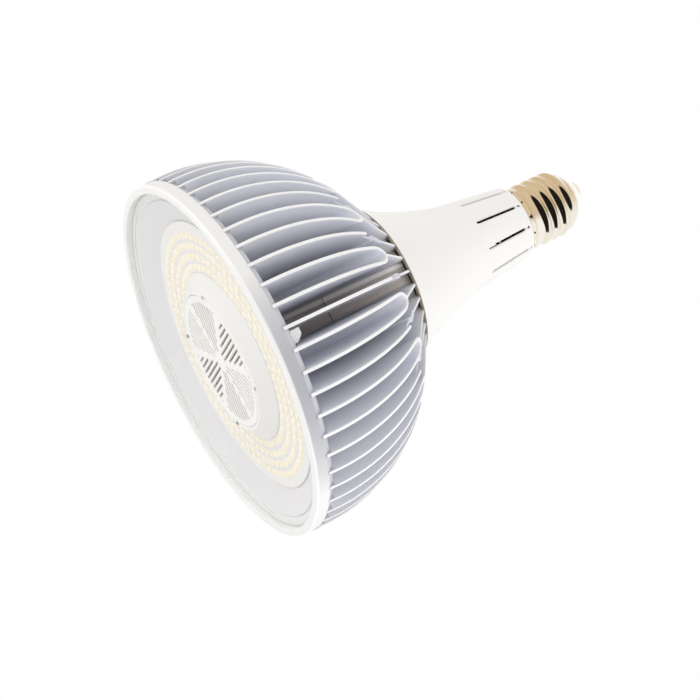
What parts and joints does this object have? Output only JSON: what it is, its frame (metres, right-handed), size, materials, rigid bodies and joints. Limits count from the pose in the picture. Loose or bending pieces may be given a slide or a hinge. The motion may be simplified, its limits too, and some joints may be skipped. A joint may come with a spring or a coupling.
{
  "type": "led hid replacement bulb",
  "caption": "High-power LED lamp with a bowl of forked heat-sink fins, clear lens over rings of emitters, slotted air intake with a cooling fan, white flared neck and a mogul screw cap.",
  "frame": {"origin": "centre of the rim's front face, on the lamp's axis", "axes": "+Z along the lamp's axis from the rim to the screw cap"},
  "size_m": [0.2118, 0.212, 0.249],
  "materials": {
    "cast_aluminium": "satin silver paint",
    "clear_lens": "clear",
    "gasket": "soft grey",
    "reflector_grey": "light grey",
    "lamp_board": "white mask",
    "thermal_pad": "matte",
    "emitter": "pale yellow phosphor",
    "white_plastic": "matte white",
    "grille_plastic": "matte off-white",
    "screw_steel": "zinc plated",
    "fan_plastic": "matte black",
    "bearing_steel": "ground",
    "circuit_board": "green solder mask",
    "stator_iron": "laminated",
    "magnet": "sintered",
    "core_plastic": "matte brown-grey",
    "ferrite": "matte",
    "coil_tape": "yellow tape",
    "capacitor_sleeve": "shrink sleeve",
    "coil_copper": "enamelled copper",
    "chip_black": "moulded",
    "spreader_aluminium": "milled",
    "nickel_shell": "nickel plated",
    "insulator": "off-white",
    "contact_brass": "satin"
  },
  "bodies": {
    "lamp": {"heat_sink": "cast_aluminium", "lens_cover": "clear_lens", "lens_gasket": "gasket", "reflector": "reflector_grey", "led_board": "lamp_board", "thermal_pad": "thermal_pad", "led_ring_1": "emitter", "led_ring_2": "emitter", "led_ring_3": "emitter", "led_ring_4": "emitter", "air_shroud": "white_plastic", "air_grille": "grille_plastic", "shroud_screws": "screw_steel", "fan_frame": "fan_plastic", "fan_bearing": "bearing_steel", "fan_circuit_board": "circuit_board", "fan_stator": "stator_iron", "fan_duct": "core_plastic", "driver_can": "core_plastic", "driver_board": "circuit_board", "transformer_core": "ferrite", "transformer_coil": "coil_tape", "capacitor_1": "capacitor_sleeve", "capacitor_2": "capacitor_sleeve", "choke": "coil_copper", "power_transistors": "chip_black", "heat_spreader": "spreader_aluminium", "neck_housing": "white_plastic", "screw_shell": "nickel_shell", "base_insulator": "insulator", "centre_contact": "contact_brass"},
    "fan_wheel": {"fan_rotor": "fan_plastic", "rotor_magnet": "magnet", "fan_shaft": "bearing_steel"}
  },
  "joints": [
    {"name": "fan_spin", "type": "hinge", "parent": "lamp", "child": "fan_wheel", "pos_m": [0, 0, 0.03], "axis": [0, 0, 1], "continuous": true}
  ]
}
